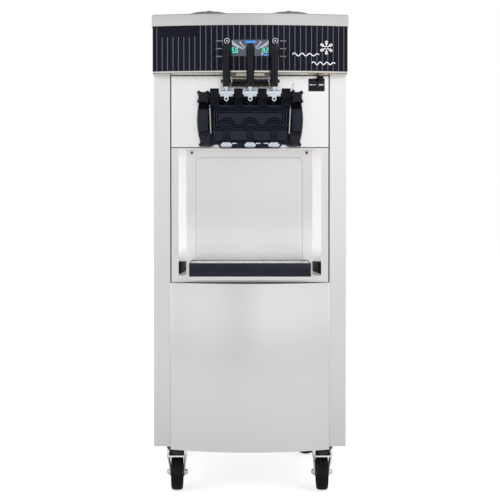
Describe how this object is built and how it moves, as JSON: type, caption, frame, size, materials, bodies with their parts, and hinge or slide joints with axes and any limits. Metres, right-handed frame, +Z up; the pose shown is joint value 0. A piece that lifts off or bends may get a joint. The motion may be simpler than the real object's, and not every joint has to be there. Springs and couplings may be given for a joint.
{
  "type": "floor-standing soft-serve ice cream maker",
  "caption": "Floor-standing soft-serve ice cream machine: steel cabinet on casters, lidded hoppers, draw handles over a splash recess with drip tray, black bowed header.",
  "frame": {"origin": "on the floor, under the middle of the machine's bounding box", "axes": "+X to the right as seen from the front, +Y to the back, +Z up"},
  "size_m": [0.54, 0.7772, 1.384],
  "materials": {
    "cabinet_steel": "satin stainless sheet, fine vertical grain",
    "frame_steel": "plain stainless sheet and tube",
    "polished_steel": "polished stainless",
    "fascia_black": "glossy black panel with fine grey pinstripes",
    "display_window": "grey-blue display window",
    "moulded_black": "moulded black plastic, soft sheen",
    "grip_black": "smooth black grip",
    "lid_grey": "dark grey moulded lid",
    "socket_brass": "dull brass nut",
    "motor_paint": "dark painted motor housing",
    "condenser_fins": "aluminium fins",
    "control_case": "moulded electrical enclosure",
    "caster_zinc": "zinc-plated pressed steel",
    "wheel_rubber": "black rubber tread on a moulded wheel"
  },
  "bodies": {
    "cabinet": {"base_frame": "frame_steel", "left_side_panel": "cabinet_steel", "right_side_panel": "cabinet_steel", "rear_panel": "cabinet_steel", "top_cover": "cabinet_steel", "header_base_pan": "cabinet_steel", "header_fascia": "fascia_black", "display_module": "display_window", "upper_front_panel": "cabinet_steel", "splash_recess": "cabinet_steel", "lower_front_panel": "cabinet_steel", "hopper_left": "polished_steel", "hopper_right": "polished_steel", "freezing_cylinder_left": "frame_steel", "freezing_cylinder_right": "frame_steel", "gear_motor_left": "motor_paint", "gear_motor_right": "motor_paint", "compressor": "motor_paint", "condenser": "condenser_fins", "control_box": "control_case", "cable_gland": "moulded_black", "freezer_faceplate": "polished_steel", "dispensing_head": "moulded_black", "pivot_rod": "polished_steel", "nozzle_cap_left": "polished_steel", "nozzle_cap_center": "polished_steel", "nozzle_cap_right": "polished_steel", "handle_stop_bar": "moulded_black", "stop_bar_bracket": "cabinet_steel", "selector_plate": "fascia_black", "selector_socket": "socket_brass"},
    "handle_left": {"draw_fork_left": "polished_steel", "draw_grip_left": "grip_black"},
    "handle_center": {"draw_fork_center": "polished_steel", "draw_grip_center": "grip_black"},
    "handle_right": {"draw_fork_right": "polished_steel", "draw_grip_right": "grip_black"},
    "plunger_left": {"valve_plunger_left": "moulded_black"},
    "plunger_center": {"valve_plunger_center": "moulded_black"},
    "plunger_right": {"valve_plunger_right": "moulded_black"},
    "lid_left": {"lid_left": "lid_grey"},
    "lid_right": {"lid_right": "lid_grey"},
    "tray": {"drip_tray": "fascia_black"},
    "grille": {"drip_grille": "polished_steel"},
    "knob_upper_left": {"star_knob_upper_left": "moulded_black"},
    "knob_upper_right": {"star_knob_upper_right": "moulded_black"},
    "knob_lower_left": {"star_knob_lower_left": "moulded_black"},
    "knob_lower_right": {"star_knob_lower_right": "moulded_black"},
    "selector": {"selector_lever": "moulded_black"},
    "beater_left": {"beater_left": "polished_steel"},
    "beater_right": {"beater_right": "polished_steel"},
    "fan": {"fan_blades": "moulded_black"},
    "caster_front_left": {"caster_fork_front_left": "caster_zinc"},
    "caster_front_right": {"caster_fork_front_right": "caster_zinc"},
    "caster_rear_left": {"caster_fork_rear_left": "caster_zinc"},
    "caster_rear_right": {"caster_fork_rear_right": "caster_zinc"},
    "wheel_front_left": {"caster_wheel_front_left": "wheel_rubber"},
    "wheel_front_right": {"caster_wheel_front_right": "wheel_rubber"},
    "wheel_rear_left": {"caster_wheel_rear_left": "wheel_rubber"},
    "wheel_rear_right": {"caster_wheel_rear_right": "wheel_rubber"}
  },
  "joints": [
    {"name": "handle_left_pull", "type": "hinge", "parent": "cabinet", "child": "handle_left", "pos_m": [-0.0646, -0.3574, 1.11], "axis": [1, 0, 0], "range_deg": [0, 60]},
    {"name": "handle_center_pull", "type": "hinge", "parent": "cabinet", "child": "handle_center", "pos_m": [0, -0.3574, 1.11], "axis": [1, 0, 0], "range_deg": [0, 60]},
    {"name": "handle_right_pull", "type": "hinge", "parent": "cabinet", "child": "handle_right", "pos_m": [0.0646, -0.3574, 1.11], "axis": [1, 0, 0], "range_deg": [0, 60]},
    {"name": "plunger_left_lift", "type": "slide", "parent": "cabinet", "child": "plunger_left", "axis": [0, 0, 1], "range_m": [0, 0.0336]},
    {"name": "plunger_center_lift", "type": "slide", "parent": "cabinet", "child": "plunger_center", "axis": [0, 0, 1], "range_m": [0, 0.0336]},
    {"name": "plunger_right_lift", "type": "slide", "parent": "cabinet", "child": "plunger_right", "axis": [0, 0, 1], "range_m": [0, 0.0336]},
    {"name": "lid_left_lift", "type": "slide", "parent": "cabinet", "child": "lid_left", "axis": [0, 0, 1], "range_m": [0, 0.15]},
    {"name": "lid_right_lift", "type": "slide", "parent": "cabinet", "child": "lid_right", "axis": [0, 0, 1], "range_m": [0, 0.15]},
    {"name": "tray_pull", "type": "slide", "parent": "cabinet", "child": "tray", "axis": [0, -1, 0], "range_m": [0, 0.2]},
    {"name": "grille_lift", "type": "slide", "parent": "tray", "child": "grille", "axis": [0, 0, 1], "range_m": [0, 0.06]},
    {"name": "knob_upper_left_turn", "type": "hinge", "parent": "cabinet", "child": "knob_upper_left", "pos_m": [-0.128, -0.3214, 1.108], "axis": [0, 1, 0], "continuous": true},
    {"name": "knob_upper_right_turn", "type": "hinge", "parent": "cabinet", "child": "knob_upper_right", "pos_m": [0.128, -0.3214, 1.108], "axis": [0, 1, 0], "continuous": true},
    {"name": "knob_lower_left_turn", "type": "hinge", "parent": "cabinet", "child": "knob_lower_left", "pos_m": [-0.123, -0.3214, 0.9895], "axis": [0, 1, 0], "continuous": true},
    {"name": "knob_lower_right_turn", "type": "hinge", "parent": "cabinet", "child": "knob_lower_right", "pos_m": [0.123, -0.3214, 0.9895], "axis": [0, 1, 0], "continuous": true},
    {"name": "selector_tilt", "type": "hinge", "parent": "cabinet", "child": "selector", "pos_m": [0.1935, -0.3064, 1.162], "axis": [0, -1, 0], "range_deg": [0, 52]},
    {"name": "beater_left_spin", "type": "hinge", "parent": "cabinet", "child": "beater_left", "pos_m": [-0.062, -0.1214, 1.04], "axis": [0, 1, 0], "continuous": true},
    {"name": "beater_right_spin", "type": "hinge", "parent": "cabinet", "child": "beater_right", "pos_m": [0.062, -0.1214, 1.04], "axis": [0, 1, 0], "continuous": true},
    {"name": "fan_spin", "type": "hinge", "parent": "cabinet", "child": "fan", "pos_m": [0, 0.2516, 0.34], "axis": [0, 1, 0], "continuous": true},
    {"name": "caster_front_left_swivel", "type": "hinge", "parent": "cabinet", "child": "caster_front_left", "pos_m": [-0.206, -0.2274, 0.12], "axis": [0, 0, 1], "continuous": true},
    {"name": "caster_front_right_swivel", "type": "hinge", "parent": "cabinet", "child": "caster_front_right", "pos_m": [0.206, -0.2274, 0.12], "axis": [0, 0, 1], "continuous": true},
    {"name": "caster_rear_left_swivel", "type": "hinge", "parent": "cabinet", "child": "caster_rear_left", "pos_m": [-0.206, 0.2586, 0.12], "axis": [0, 0, 1], "continuous": true},
    {"name": "caster_rear_right_swivel", "type": "hinge", "parent": "cabinet", "child": "caster_rear_right", "pos_m": [0.206, 0.2586, 0.12], "axis": [0, 0, 1], "continuous": true},
    {"name": "wheel_front_left_roll", "type": "hinge", "parent": "caster_front_left", "child": "wheel_front_left", "pos_m": [-0.206, -0.1974, 0.051], "axis": [1, 0, 0], "continuous": true},
    {"name": "wheel_front_right_roll", "type": "hinge", "parent": "caster_front_right", "child": "wheel_front_right", "pos_m": [0.206, -0.1974, 0.051], "axis": [1, 0, 0], "continuous": true},
    {"name": "wheel_rear_left_roll", "type": "hinge", "parent": "caster_rear_left", "child": "wheel_rear_left", "pos_m": [-0.22528, 0.28158, 0.051], "axis": [0.766, 0.6428, 0], "continuous": true},
    {"name": "wheel_rear_right_roll", "type": "hinge", "parent": "caster_rear_right", "child": "wheel_rear_right", "pos_m": [0.18672, 0.28158, 0.051], "axis": [0.766, 0.6428, 0], "continuous": true}
  ],
  "couplings": [
    {"joint": "plunger_left_lift", "follows": "handle_left_pull", "m_per_rad": 0.03197},
    {"joint": "plunger_center_lift", "follows": "handle_center_pull", "m_per_rad": 0.03197},
    {"joint": "plunger_right_lift", "follows": "handle_right_pull", "m_per_rad": 0.03197}
  ]
}
